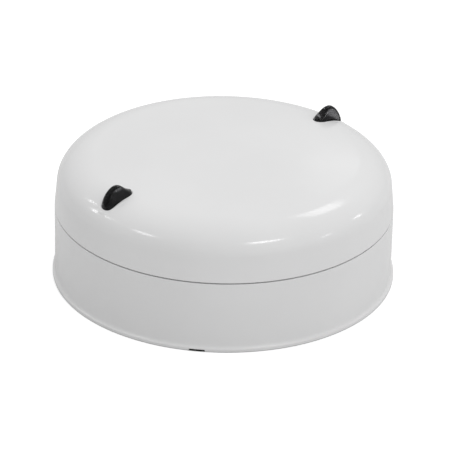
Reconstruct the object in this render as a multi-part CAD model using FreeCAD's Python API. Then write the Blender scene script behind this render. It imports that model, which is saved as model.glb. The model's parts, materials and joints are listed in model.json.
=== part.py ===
import FreeCAD, Part
import math
import os
from FreeCAD import Vector

# A round ceiling unit: a screwed-down mounting base and a head that twist-locks into it.
# The origin is the centre of the base's back face and +Z runs up through the cover.
# The two light pipes lie on the X axis. All sizes are in millimetres and degrees.

# Outer form of the mounting base
body_radius = 55.0
base_height = 23.65
base_wall = 2.2
base_floor = 2.5
foot_overhang = 0.8
foot_height = 2.2
seam_gap = 0.4
edge_break = 0.15

# Rebate at the base's rim, where the head's ledge sits
lip_wall = 0.9
rebate_depth = 1.0

# Cable entry, mounting slots and the slot in the bottom rim
entry_radius = 17.0
collar_wall = 1.6
collar_height = 3.5
slot_radius = 2.1
inner_slot_spacing = 60.0
inner_slot_length = 14.0
outer_slot_spacing = 75.0
outer_slot_length = 10.0
notch_angle = 220.0
notch_width = 5.0
notch_height = 0.7
notch_depth = 2.6

# Cover: drafted rim, elliptical shoulder, crown that rises to the middle
cover_wall = 2.0
rim_height = 8.5
rim_draft = 5.5
shoulder_depth = 13.5
shoulder_height = 9.3
crown_angle = 3.7
shoulder_flats = 5
cover_boss_radius = 4.0
boss_set_in = 6.5
boss_angles = (90.0, 210.0, 330.0)

# Light pipes: an oval plan of four arcs, set out from where the cover's shoulder is centred, and a
# ridge line given as shares of the oval's half length from its middle, with heights over the cover
pipe_ridge = ((-0.98, 0.8), (-0.85, 1.25), (-0.52, 2.3), (-0.17, 3.6), (0.14, 4.4),
              (0.47, 4.45), (0.76, 3.6), (0.98, 1.7))
pipe_set_out = 4.2
pipe_half_length = 5.15
pipe_half_width = 2.4
pipe_end_radius = pipe_half_width * 0.8
pipe_fit = 0.12
pipe_arch_steps = 8
pipe_collar_wall = 1.2
pipe_stem_depth = 4.0
pipe_rod_radius = 1.9

# Head chassis: plate, rim wall, ledge on the base's rebate, bayonet skirt with lugs
plate_set_down = 4.65
plate_thickness = 2.0
chassis_wall = 1.8
chassis_rim_reach = 2.95
ledge_gap = 0.3
chassis_gap = 0.5
rim_gap = 0.5
skirt_wall = 1.6
skirt_depth = 6.5
lug_end_gap = 1.8
lug_thickness = 2.0
lug_angles = (70.0, 190.0, 310.0)
lug_widths = (12.0, 12.0, 16.0)
hook_reach = 3.5
hook_gap = 0.3
hook_thickness = 2.0
hook_clearance = 0.7
stop_width = 3.0

# Circuit board
board_gap = 1.5
board_thickness = 1.6
board_lift = 5.0
boss_clearance = 0.6
pillar_set_in = 5.5
pillar_radius = 3.0
pillar_angles = (0.0, 120.0, 240.0)
pillar_turn = 30.0

# Screws, and the clearance of a hole around a shank or a head
screw_clearance = 0.05
screw_well_clearance = 0.3
cover_screw_head = 2.6
cover_screw_rise = 2.2
cover_screw_shank = 1.5
cover_screw_length = 12.0
cover_boss_lift = 4.0
board_screw_head = 2.4
board_screw_rise = 1.6
board_screw_shank = 1.0
board_screw_length = 5.0
board_screw_tip_room = 0.5
terminal_screw_head = 3.4
terminal_screw_rise = 2.2
terminal_screw_shank = 1.6
terminal_screw_length = 7.5
drive_slot_width = 0.9

# Terminals of the base and contact blades of the head
terminal_set_in = 4.0
terminal_angles = (36.0, 156.0, 216.0, 336.0)
post_radial = 10.0
post_tangent = 11.0
post_set_down = 8.0
post_corner = 1.0
spring_thickness = 0.45
spring_width = 5.0
spring_bend = 1.4
spring_apex = 11.0
contact_gap = 0.3
clamp_thickness = 1.0
clamp_length = 8.4
clamp_set_in = 1.8
blade_thickness = 0.8
blade_width = 6.0
blade_length = 12.0
blade_bend = 1.0
slot_clearance = 0.25
rib_thickness = 1.6
rib_height = 5.0

# Address switches and their dials
switch_spread = 17.0
switch_offset = -22.0
switch_size = 10.0
switch_corner = 0.5
switch_gap = 0.6
dial_radius = 4.2
dial_thickness = 2.0
dial_gap = 0.3
dial_stub_radius = 1.5
dial_stub_length = 2.4
dial_stub_fit = 0.05
dial_slot_width = 1.2
dial_slot_depth = 1.1

# Removal sensor: magnet in the base, reed switch in the head
sensor_circle = 30.0
sensor_angle = 110.0
magnet_radius = 2.5
magnet_length = 6.0
magnet_set_down = 2.5
magnet_post_wall = 1.4
reed_radius = 1.1
reed_length = 10.0
reed_lead = 0.25
reed_lead_reach = 1.2

# Parts on the board
lamp_size = 3.2
lamp_height = 1.9
lamp_gap = 0.5
module_size = (24.0, 18.0, 0.8)
module_place = (0.0, 12.0)
shield_size = (20.0, 15.0, 2.6)
shield_wall = 0.3
radio_chip_size = (6.0, 6.0, 0.9)
antenna_set_in = 11.0
antenna_sweep = 54.0
antenna_thickness = 0.6
antenna_lift = 5.5
antenna_band = 3.5
antenna_leg = 3.0
controller_size = 10.0
controller_height = 1.5
controller_place = (0.0, -9.0)
lead_count = 8
lead_pitch = 1.0
lead_width = 0.4
lead_reach = 1.0
lead_thickness = 0.3
crystal_place = (14.0, -9.0)
crystal_size = (10.0, 4.4, 3.4)
controller_chamfer = 0.3
capacitor_set_ins = (21.2, 17.6)
capacitor_angles = (210.0, 233.0)
capacitor_radius = 4.0
capacitor_height = 9.0
capacitor_base = 1.2
capacitor_foot_margin = 0.2
capacitor_edge = 0.5
inductor_set_in = 17.8
inductor_angle = -39.8
inductor_size = (8.0, 8.0, 4.0)
inductor_corner = 1.5
winding_inner = 1.6
winding_outer = 3.0
winding_depth = 0.8
transistor_places = ((-26.0, 2.0), (26.0, 2.0))
transistor_size = (6.5, 6.0, 2.3)
transistor_tab = (5.4, 2.4, 0.6)

# Levels and radii that follow from the sizes above
cover_edge = base_height + seam_gap
base_inner_radius = body_radius - base_wall
lip_radius = body_radius - lip_wall
rebate_level = base_height - rebate_depth
ledge_low = rebate_level + ledge_gap
ledge_radius = lip_radius - ledge_gap
chassis_radius = base_inner_radius - chassis_gap
chassis_inner_radius = chassis_radius - chassis_wall
chassis_rim_top = cover_edge + chassis_rim_reach
plate_height = base_height - plate_set_down
plate_top = plate_height + plate_thickness
hook_radius = base_inner_radius - hook_reach
skirt_radius = hook_radius - hook_clearance
skirt_inner_radius = skirt_radius - skirt_wall
lug_radius = base_inner_radius - lug_end_gap
skirt_low = plate_height - skirt_depth
lug_top = skirt_low + lug_thickness
hook_low = lug_top + hook_gap
board_height = plate_top + board_lift
board_top = board_height + board_thickness
board_radius = chassis_inner_radius - board_gap
boss_circle = chassis_inner_radius - cover_boss_radius - boss_set_in
cover_boss_foot = plate_top + cover_boss_lift
pillar_circle = chassis_inner_radius - pillar_radius - pillar_set_in
terminal_circle = skirt_inner_radius - post_radial / 2 - terminal_set_in
post_height = plate_height - post_set_down
magnet_top = plate_height - magnet_set_down
antenna_circle = board_radius - antenna_set_in
blade_low = plate_height - blade_thickness
clamp_width = post_tangent - 2 * clamp_set_in
terminal_top = post_height + spring_thickness + clamp_thickness
dial_low = plate_top + switch_gap - dial_gap - dial_thickness


def unit(vector):
    """Return the vector at length 1."""
    return Vector(vector).normalize()


def left_of(vector):
    """Return the vector turned a quarter turn to the left in its plane."""
    return Vector(-vector.y, vector.x, 0)


def polar(radius, angle, height=0.0):
    """Return the point at a radius, an angle about Z and a height."""
    return Vector(radius * math.cos(math.radians(angle)), radius * math.sin(math.radians(angle)), height)


def turned(shape, angle):
    """Return a copy of the shape turned about Z."""
    copy = shape.copy()
    copy.rotate(Vector(0, 0, 0), Vector(0, 0, 1), angle)
    return copy


def moved(shape, x, y, z=0.0):
    """Return a copy of the shape moved by x, y and z."""
    copy = shape.copy()
    copy.translate(Vector(x, y, z))
    return copy


def block(size, x=0.0, y=0.0, z=0.0):
    """Return a block centred on x and y that stands on z."""
    return Part.makeBox(size[0], size[1], size[2], Vector(x - size[0] / 2, y - size[1] / 2, z))


def rod(radius, low, high, x=0.0, y=0.0):
    """Return an upright cylinder between two heights."""
    return Part.makeCylinder(radius, high - low, Vector(x, y, low))


def corners(points):
    """Return the straight edges between points given as radius and height."""
    spots = [Vector(radius, height, 0) for radius, height in points]
    return [Part.makeLine(a, b) for a, b in zip(spots, spots[1:])]


def spun(edges, start=0.0, sweep=360.0):
    """Return the solid that a closed outline in radius and height makes about Z."""
    face = Part.Face(Part.Wire(Part.__sortEdges__(edges)))
    face.rotate(Vector(0, 0, 0), Vector(1, 0, 0), 90)
    return turned(face.revolve(Vector(0, 0, 0), Vector(0, 0, 1), sweep), start)


def sector(inner, outer, low, high, start=0.0, sweep=360.0):
    """Return a ring, or a stretch of one, of rectangular section."""
    outline = corners([(inner, low), (outer, low), (outer, high), (inner, high), (inner, low)])
    return spun(outline, start, sweep)


def stadium(length, radius, low, high, x=0.0, y=0.0, angle=0.0):
    """Return an upright slot shape of the given overall length, with its length at an angle."""
    reach = length / 2 - radius
    shape = block((2 * reach, 2 * radius, high - low), 0, 0, low)
    for side in (-reach, reach):
        shape = shape.fuse(rod(radius, low, high, side))
    return moved(turned(shape.removeSplitter(), angle), x, y)


def screw(head_radius, head_height, shank_radius, length):
    """Return a slotted screw that points down, with its bevelled head standing on height 0."""
    shank = shank_radius - screw_clearance
    bevel = head_height / 3
    body = spun(corners([(0, -length), (shank, -length), (shank, 0), (head_radius, 0),
                         (head_radius, head_height - bevel), (head_radius - bevel, head_height),
                         (0, head_height), (0, -length)]))
    return body.cut(block((drive_slot_width, head_radius * 3, head_height), 0, 0, head_height / 2))


def strip_side(points, bend, shift):
    """Return one side of a bent strip: straight runs joined by arcs, shifted to the left."""
    edges = []
    start = points[0] + left_of(unit(points[1] - points[0])) * shift
    for before, corner, after in zip(points, points[1:], points[2:]):
        into, out = unit(corner - before), unit(after - corner)
        turn = math.atan2(left_of(into).dot(out), into.dot(out))
        side = math.copysign(1.0, turn)
        reach = bend * math.tan(abs(turn) / 2)
        arc_start = corner - into * reach
        centre = arc_start + left_of(into) * (side * bend)
        middle = centre + unit(corner - centre) * (bend - side * shift)
        arc_end = corner + out * reach + left_of(out) * shift
        arc_start = arc_start + left_of(into) * shift
        edges += [Part.makeLine(start, arc_start), Part.Arc(arc_start, middle, arc_end).toShape()]
        start = arc_end
    end = points[-1] + left_of(unit(points[-1] - points[-2])) * shift
    return edges + [Part.makeLine(start, end)]


def bent_strip(points, bend, thickness, width):
    """Return a bent metal strip whose middle line runs through points in Y and Z."""
    spots = [Vector(along, height, 0) for along, height in points]
    one = strip_side(spots, bend, thickness / 2)
    other = strip_side(spots, bend, -thickness / 2)
    ends = [Part.makeLine(one[0].firstVertex().Point, other[0].firstVertex().Point),
            Part.makeLine(one[-1].lastVertex().Point, other[-1].lastVertex().Point)]
    face = Part.Face(Part.Wire(Part.__sortEdges__(one + other + ends)))
    strip = face.extrude(Vector(0, 0, width))
    strip.translate(Vector(0, 0, -width / 2))
    strip.rotate(Vector(0, 0, 0), Vector(1, 0, 0), 90)
    strip.rotate(Vector(0, 0, 0), Vector(0, 0, 1), 90)
    return strip


def at_terminal(shape, angle):
    """Return a shape drawn at the origin, set on the terminal circle at an angle."""
    return turned(moved(shape, terminal_circle, 0), angle)


class Dome:
    """The cover's line at an inset from its outside: rim, shoulder and crown.

    The shoulder is a stretch of an ellipse that leaves the drafted rim and meets the
    crown's arc with no corner.
    """

    def __init__(self, inset):
        slope = math.tan(math.radians(rim_draft))
        outer_start = math.atan(slope * shoulder_height / shoulder_depth)
        rim_radius = body_radius - rim_height * slope
        self.centre_radius = rim_radius - shoulder_depth * math.cos(outer_start)
        self.centre_height = cover_edge + rim_height - shoulder_height * math.sin(outer_start)
        self.depth = shoulder_depth - inset
        self.height = shoulder_height - inset
        self.start = math.atan(slope * self.height / self.depth)
        crown = math.radians(crown_angle)
        self.end = math.atan2(self.height, self.depth * math.tan(crown))
        self.shoulder_foot = self.point(self.start)
        self.shoulder_top = self.point(self.end)
        self.crown_radius = self.shoulder_top.x / math.sin(crown)
        self.top = self.shoulder_top.y + self.shoulder_top.x * math.tan(crown / 2)
        self.edge_radius = self.shoulder_foot.x + (self.shoulder_foot.y - cover_edge) * slope

    def point(self, turn):
        """Return the ellipse's point at a turn, as radius and height."""
        return Vector(self.centre_radius + self.depth * math.cos(turn),
                      self.centre_height + self.height * math.sin(turn), 0)

    def surface(self, radius):
        """Return the line's height at a radius."""
        if radius < self.shoulder_top.x:
            drop = self.crown_radius - math.sqrt(self.crown_radius ** 2 - radius ** 2)
            return self.top - drop
        share = (radius - self.centre_radius) / self.depth
        return self.centre_height + self.height * math.sqrt(1 - share ** 2)

    def edges(self):
        """Return the line's edges from the rim's edge to the axis."""
        ellipse = Part.Ellipse(Vector(self.centre_radius, self.centre_height, 0), self.depth, self.height)
        half = self.shoulder_top.x / 2
        crown = Part.Arc(self.shoulder_top, Vector(half, self.surface(half), 0), Vector(0, self.top, 0))
        rim = Part.makeLine(Vector(self.edge_radius, cover_edge, 0), self.shoulder_foot)
        return [rim, Part.ArcOfEllipse(ellipse, self.start, self.end).toShape(), crown.toShape()]

    def flats(self, steps):
        """Return the corners of straight runs that follow the line from the rim's edge to the axis."""
        turns = [self.start + (self.end - self.start) * step / steps for step in range(steps + 1)]
        spots = [self.point(turn) for turn in turns]
        return [(self.edge_radius, cover_edge)] + [(spot.x, spot.y) for spot in spots] + [(0, self.top)]

    def under(self, steps):
        """Return everything under the straight runs, down to the cover's edge."""
        outline = self.flats(steps) + [(0, cover_edge), (self.edge_radius, cover_edge)]
        return spun(corners(outline))


outer_dome = Dome(0.0)
middle_dome = Dome(cover_wall / 2)
inner_dome = Dome(cover_wall)
pipe_middle = outer_dome.centre_radius + pipe_set_out
chassis_rim_radius = inner_dome.edge_radius - rim_gap - chassis_rim_reach * math.tan(math.radians(rim_draft))


def pipe_side_radius(grow):
    """Return the radius of the oval's long arcs, which touch its two end arcs."""
    end, width = pipe_end_radius + grow, pipe_half_width + grow
    return ((pipe_half_length + grow - end) ** 2 + width ** 2 - end ** 2) / (2 * (width - end))


def pipe_half(along, grow=0.0):
    """Return the oval's half width at a distance along it from its middle."""
    end, side = pipe_end_radius + grow, pipe_side_radius(grow)
    end_place = pipe_half_length - pipe_end_radius
    if abs(along) < end_place * side / (side - end):
        return math.sqrt(side ** 2 - along ** 2) - side + pipe_half_width + grow
    return math.sqrt(end ** 2 - (abs(along) - end_place) ** 2)


def pipe_prism(grow, low, high):
    """Return the light pipe's oval, grown all round, between two heights."""
    end, side = pipe_end_radius + grow, pipe_side_radius(grow)
    end_place = pipe_half_length - pipe_end_radius
    joint = end_place * side / (side - end)
    reach, half, width = end_place + end, pipe_half(joint, grow), pipe_half_width + grow
    arcs = [((joint, half), (0, width), (-joint, half)), ((-joint, half), (-reach, 0), (-joint, -half)),
            ((-joint, -half), (0, -width), (joint, -half)), ((joint, -half), (reach, 0), (joint, half))]
    edges = [Part.Arc(*[Vector(pipe_middle + x, y, low) for x, y in arc]).toShape() for arc in arcs]
    return Part.Face(Part.Wire(edges)).extrude(Vector(0, 0, high - low))


def light_pipe():
    """Return the light pipe on +X: a fin over the cover, its stem in the window and a rod to the lamp."""
    sections = []
    stem_low = outer_dome.surface(pipe_middle) - pipe_stem_depth
    for share, rise in pipe_ridge:
        along = share * pipe_half_length
        radius, half = pipe_middle + along, pipe_half(along)
        foot = outer_dome.surface(radius)
        arch = [Vector(radius, half * math.cos(turn), foot + rise * math.sin(turn))
                for turn in (math.pi * step / pipe_arch_steps for step in range(pipe_arch_steps + 1))]
        loop = [Vector(radius, half, stem_low)] + arch + [Vector(radius, -half, stem_low)]
        sections.append(Part.makePolygon(loop + loop[:1]))
    fin = Part.makeLoft(sections, True, True)
    light_rod = rod(pipe_rod_radius, board_top + lamp_height + lamp_gap, stem_low, pipe_middle)
    return fin.fuse(light_rod).removeSplitter()


def top_cover():
    """Return the domed cover with its bosses and the two collared windows of the light pipes."""
    edge = corners([(inner_dome.edge_radius, cover_edge), (outer_dome.edge_radius, cover_edge)])
    axis = corners([(0, inner_dome.top), (0, outer_dome.top)])
    cover = spun(outer_dome.edges() + corners(inner_dome.flats(shoulder_flats)) + edge + axis)
    inside = middle_dome.under(shoulder_flats)
    for angle in boss_angles:
        place = polar(boss_circle, angle)
        boss = rod(cover_boss_radius, cover_boss_foot, outer_dome.top, place.x, place.y).common(inside)
        cover = cover.fuse(boss)
        hole_top = cover_boss_foot + cover_screw_length
        cover = cover.cut(rod(cover_screw_shank, cover_boss_foot, hole_top, place.x, place.y))
    collar_low = outer_dome.surface(pipe_middle) - pipe_stem_depth
    collar = pipe_prism(pipe_fit + pipe_collar_wall, collar_low, outer_dome.top).common(inside)
    window = pipe_prism(pipe_fit, collar_low, outer_dome.top + 1)
    for angle in (0, 180):
        cover = cover.fuse(turned(collar, angle)).cut(turned(window, angle))
    return cover.removeSplitter()


def hook(angle, width):
    """Return one bayonet hook of the base, with the stop that closes its end."""
    gap = math.degrees(hook_gap / skirt_radius)
    start = angle - width / 2 - gap - stop_width
    shelf = sector(hook_radius, body_radius - base_wall / 2, hook_low, hook_low + hook_thickness,
                   start, width + gap + stop_width)
    stop = sector(hook_radius, body_radius - base_wall / 2, skirt_low, hook_low, start, stop_width)
    return shelf.fuse(stop)


def mounting_base():
    """Return the base: drum with foot, floor, terminal posts, ribs, hooks and magnet post."""
    foot_radius = body_radius + foot_overhang
    collar_top = base_floor + collar_height
    outline = corners([(entry_radius, 0), (foot_radius, 0), (foot_radius, foot_height / 2),
                        (body_radius + foot_overhang * 0.3, foot_height * 0.7),
                        (body_radius, foot_height), (body_radius, base_height - edge_break),
                        (body_radius - edge_break, base_height), (lip_radius, base_height),
                        (lip_radius, rebate_level), (base_inner_radius, rebate_level),
                        (base_inner_radius, base_floor), (entry_radius + collar_wall, base_floor),
                        (entry_radius + collar_wall, collar_top), (entry_radius, collar_top),
                        (entry_radius, 0)])
    base = spun(outline)
    rib_inner = block((terminal_circle - entry_radius - collar_wall / 2, rib_thickness, rib_height))
    rib_inner = moved(rib_inner, -(terminal_circle - entry_radius - collar_wall / 2) / 2, 0, base_floor)
    rib_outer = block((base_inner_radius - terminal_circle + base_wall / 2, rib_thickness, rib_height))
    rib_outer = moved(rib_outer, (base_inner_radius - terminal_circle + base_wall / 2) / 2, 0, base_floor)
    post = block((post_radial, post_tangent, post_height - base_floor / 2), 0, 0, base_floor / 2)
    post = post.makeFillet(post_corner, [edge for edge in post.Edges if edge.tangentAt(0).z ** 2 > 0.9])
    hole = rod(terminal_screw_shank, base_floor, post_height + 1)
    for angle in terminal_angles:
        for shape in (post, rib_inner, rib_outer):
            base = base.fuse(at_terminal(shape, angle))
        base = base.cut(at_terminal(hole, angle))
    for angle, width in zip(lug_angles, lug_widths):
        base = base.fuse(hook(angle, width))
        base = base.cut(sector(hook_radius, base_inner_radius, -1, base_floor + 1, angle - width / 2, width))
    place = polar(sensor_circle, sensor_angle)
    base = base.fuse(rod(magnet_radius + magnet_post_wall, base_floor / 2, magnet_top, place.x, place.y))
    base = base.cut(rod(magnet_radius, magnet_top - magnet_length, magnet_top + 1, place.x, place.y))
    for side in (-1, 1):
        base = base.cut(stadium(inner_slot_length, slot_radius, -1, base_floor + 1,
                                side * inner_slot_spacing / 2))
        base = base.cut(stadium(outer_slot_length, slot_radius, -1, base_floor + 1,
                                0, side * outer_slot_spacing / 2, 90))
    notch = block((notch_depth, notch_width, notch_height + 1), foot_radius - notch_depth / 2 + 0.5, 0, -1)
    return base.cut(turned(notch, notch_angle)).removeSplitter()


def head_chassis():
    """Return the head's back plate with rim wall, ledge, bayonet skirt, bosses and windows."""
    outline = corners([(0, plate_height), (skirt_inner_radius, plate_height), (skirt_inner_radius, skirt_low),
                       (skirt_radius, skirt_low), (skirt_radius, plate_height),
                       (chassis_radius, plate_height), (chassis_radius, ledge_low),
                       (ledge_radius, ledge_low), (ledge_radius, cover_edge),
                       (chassis_rim_radius, cover_edge), (chassis_rim_radius, chassis_rim_top),
                       (chassis_inner_radius, chassis_rim_top),
                       (chassis_inner_radius, plate_top), (0, plate_top), (0, plate_height)])
    chassis = spun(outline)
    for angle, width in zip(lug_angles, lug_widths):
        chassis = chassis.fuse(sector(skirt_radius - skirt_wall / 2, lug_radius,
                                      skirt_low, lug_top, angle - width / 2, width))
    for angle in boss_angles:
        place = polar(boss_circle, angle)
        chassis = chassis.fuse(rod(cover_boss_radius, plate_height, cover_boss_foot, place.x, place.y))
        chassis = chassis.cut(rod(cover_screw_shank, plate_height, cover_boss_foot, place.x, place.y))
        chassis = chassis.cut(rod(cover_screw_head + screw_well_clearance, plate_height - 1,
                                  plate_height + cover_screw_rise, place.x, place.y))
    for angle in pillar_angles:
        place = polar(pillar_circle, angle + pillar_turn)
        chassis = chassis.fuse(rod(pillar_radius, plate_height, board_height, place.x, place.y))
        chassis = chassis.cut(rod(board_screw_shank, board_top - board_screw_length - board_screw_tip_room,
                                  board_height + 1, place.x, place.y))
    for side in (-1, 1):
        chassis = chassis.cut(rod(dial_radius + dial_gap, plate_height - 1, plate_top + 1,
                                  side * switch_spread / 2, switch_offset))
    slot_start = spring_apex + blade_length / 2 - blade_bend - slot_clearance
    slot_length = blade_bend + blade_thickness / 2 + 2 * slot_clearance
    leg = block((blade_width + 2 * slot_clearance, slot_length, plate_thickness + 2),
                0, slot_start + slot_length / 2, plate_height - 1)
    for angle in terminal_angles:
        chassis = chassis.cut(at_terminal(leg, angle))
    return chassis.removeSplitter()


def contact_spring():
    """Return one contact spring: a foot under the screw and a leaf arched up to the blade."""
    foot = post_height + spring_thickness / 2
    apex = blade_low - contact_gap - spring_thickness / 2
    rise = apex - foot
    line = [(-post_tangent / 2 + 0.5, foot), (post_tangent / 2 - 1.0, foot),
            (spring_apex - 2.4, foot + rise * 0.9), (spring_apex - 0.8, apex),
            (spring_apex + 0.8, apex), (spring_apex + 4.0, apex - rise * 0.45)]
    leaf = bent_strip(line, spring_bend, spring_thickness, spring_width)
    foot_plate = block((post_radial - 1.0, post_tangent - 2.5, spring_thickness), 0, -0.25, post_height)
    hole = rod(terminal_screw_shank + screw_clearance, post_height - 1, post_height + 1)
    return foot_plate.fuse(leaf).cut(hole).removeSplitter()


def contact_blade():
    """Return one contact blade: a pad under the plate and a leg up through it to the board."""
    middle = blade_low + blade_thickness / 2
    line = [(spring_apex - blade_length / 2, middle), (spring_apex + blade_length / 2, middle),
            (spring_apex + blade_length / 2, board_height)]
    return bent_strip(line, blade_bend, blade_thickness, blade_width)


def terminal_clamp():
    """Return one clamp plate with bevelled upper edges."""
    plate = block((clamp_length, clamp_width, clamp_thickness), 0, 0, post_height + spring_thickness)
    top = [edge for edge in plate.Edges if abs(edge.CenterOfMass.z - terminal_top) < 0.01]
    plate = plate.makeChamfer(clamp_thickness * 0.4, top)
    return plate.cut(rod(terminal_screw_shank + screw_clearance, post_height, terminal_top + 1))


def address_switch(x):
    """Return one rotary switch body, with the bore for its dial's stub."""
    low = plate_top + switch_gap
    body = block((switch_size, switch_size, board_height - low), x, switch_offset, low)
    body = body.makeChamfer(switch_corner, [edge for edge in body.Edges if edge.tangentAt(0).z ** 2 > 0.9])
    bore = rod(dial_stub_radius + dial_stub_fit, low - 1, low + dial_stub_length, x, switch_offset)
    return body.cut(bore)


def address_dial(x):
    """Return one address dial: a disc with an arrow-ended screwdriver slot, and its stub."""
    disc = rod(dial_radius, dial_low, dial_low + dial_thickness)
    stub_top = dial_low + dial_thickness + dial_stub_length
    slot = block((dial_slot_width, dial_radius * 1.4, dial_slot_depth + 1), 0, 0, dial_low - 1)
    tip = Part.Face(Part.makePolygon([Vector(-dial_slot_width, dial_radius * 0.35, dial_low - 1),
                                      Vector(dial_slot_width, dial_radius * 0.35, dial_low - 1),
                                      Vector(0, dial_radius * 0.9, dial_low - 1),
                                      Vector(-dial_slot_width, dial_radius * 0.35, dial_low - 1)]))
    tip = tip.extrude(Vector(0, 0, dial_slot_depth + 1))
    dial = disc.fuse(rod(dial_stub_radius, dial_low + 1, stub_top)).cut(slot.fuse(tip))
    return moved(dial.removeSplitter(), x, switch_offset)


def circuit_board():
    """Return the round board, open around the cover's bosses and drilled for its screws."""
    board = rod(board_radius, board_height, board_top)
    for angle in boss_angles:
        place = polar(boss_circle, angle)
        board = board.cut(rod(cover_boss_radius + boss_clearance, board_height - 1, board_top + 1,
                              place.x, place.y))
    for angle in pillar_angles:
        place = polar(pillar_circle, angle + pillar_turn)
        board = board.cut(rod(board_screw_shank + screw_clearance, board_height - 1, board_top + 1,
                              place.x, place.y))
    return board


def status_lamp():
    """Return the lamp under the light pipe on +X: a square body with a round window."""
    body = block((lamp_size, lamp_size, lamp_height * 0.7), pipe_middle, 0, board_top)
    return body.fuse(rod(lamp_size * 0.36, board_top, board_top + lamp_height, pipe_middle))


def radio_shield():
    """Return the shield can over the radio chip, open at its foot."""
    x, y = module_place
    low = board_top + module_size[2]
    can = block(shield_size, x, y, low)
    can = can.makeFillet(0.8, [edge for edge in can.Edges if edge.tangentAt(0).z ** 2 > 0.9])
    hollow = [size - 2 * shield_wall for size in shield_size[:2]] + [shield_size[2] - shield_wall]
    return can.cut(block(hollow, x, y, low))


def antenna():
    """Return the antenna on the left: an upright band on three legs that follows the board's edge."""
    inner = antenna_circle - antenna_thickness / 2
    outer = antenna_circle + antenna_thickness / 2
    start = 180 - antenna_leg * 5 - antenna_sweep
    low = board_top + antenna_lift
    shape = sector(inner, outer, low, low + antenna_band, start, antenna_sweep)
    for place in (start, start + 4 * antenna_leg, start + antenna_sweep - antenna_leg):
        shape = shape.fuse(sector(inner, outer, board_top, low, place, antenna_leg))
    return shape.removeSplitter()


def microcontroller():
    """Return the square controller chip with its leads on four sides."""
    x, y = controller_place
    chip = block((controller_size, controller_size, controller_height - lead_thickness), 0, 0, lead_thickness)
    upper = [edge for edge in chip.Edges if edge.CenterOfMass.z > controller_height - 0.01]
    chip = chip.makeChamfer(controller_chamfer, upper)
    row = []
    for number in range(lead_count):
        along = (number - (lead_count - 1) / 2) * lead_pitch
        row.append(block((lead_width, lead_reach, lead_thickness * 2), along,
                         controller_size / 2 + lead_reach / 2 - 0.2))
    for quarter in (0, 90, 180, 270):
        for lead in row:
            chip = chip.fuse(turned(lead, quarter))
    return moved(chip, x, y, board_top)


def storage_capacitor(set_in, angle):
    """Return one upright storage capacitor on its square foot, set in from the board's edge."""
    place = polar(board_radius - set_in, angle)
    can = rod(capacitor_radius, board_top, board_top + capacitor_height, place.x, place.y)
    can = can.makeChamfer(capacitor_edge, [can.Edges[0]])
    side = 2 * (capacitor_radius + capacitor_foot_margin)
    return can.fuse(block((side, side, capacitor_base), place.x, place.y, board_top))


def power_inductor():
    """Return the power inductor: a square core with rounded corners and a round winding window."""
    place = polar(board_radius - inductor_set_in, inductor_angle)
    core = block(inductor_size, place.x, place.y, board_top)
    core = core.makeFillet(inductor_corner, [edge for edge in core.Edges if edge.tangentAt(0).z ** 2 > 0.9])
    top = board_top + inductor_size[2]
    groove = sector(winding_inner, winding_outer, top - winding_depth, top + 1)
    return core.cut(moved(groove, place.x, place.y))


def isolator_transistor(x, y):
    """Return one isolator transistor with its solder tab."""
    body = block(transistor_size, x, y, board_top)
    return body.fuse(block(transistor_tab, x, y + transistor_size[1] / 2, board_top))


def reed_switch():
    """Return the reed switch under the board, over the base's magnet: a glass tube on two leads."""
    height = board_height - reed_radius * 1.6
    tube = Part.makeCylinder(reed_radius, reed_length, Vector(-reed_length / 2, 0, height), Vector(1, 0, 0))
    for side in (-1, 1):
        reach = reed_length / 2 + reed_lead_reach
        lead = bent_strip([(side * reed_length / 2 * 0.8, height), (side * reach, height),
                           (side * reach, board_height)], reed_radius / 2, 2 * reed_lead, 2 * reed_lead)
        tube = tube.fuse(turned(lead, -90))
    place = polar(sensor_circle, sensor_angle)
    return moved(turned(tube, sensor_angle - 90), place.x, place.y)


def save(name, shape):
    """Write one piece, or one group of fasteners, to its own file."""
    shape.exportStep("parts/" + name + ".step")
    print(name, len(shape.Solids), round(shape.Volume, 1), shape.isValid())


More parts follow.
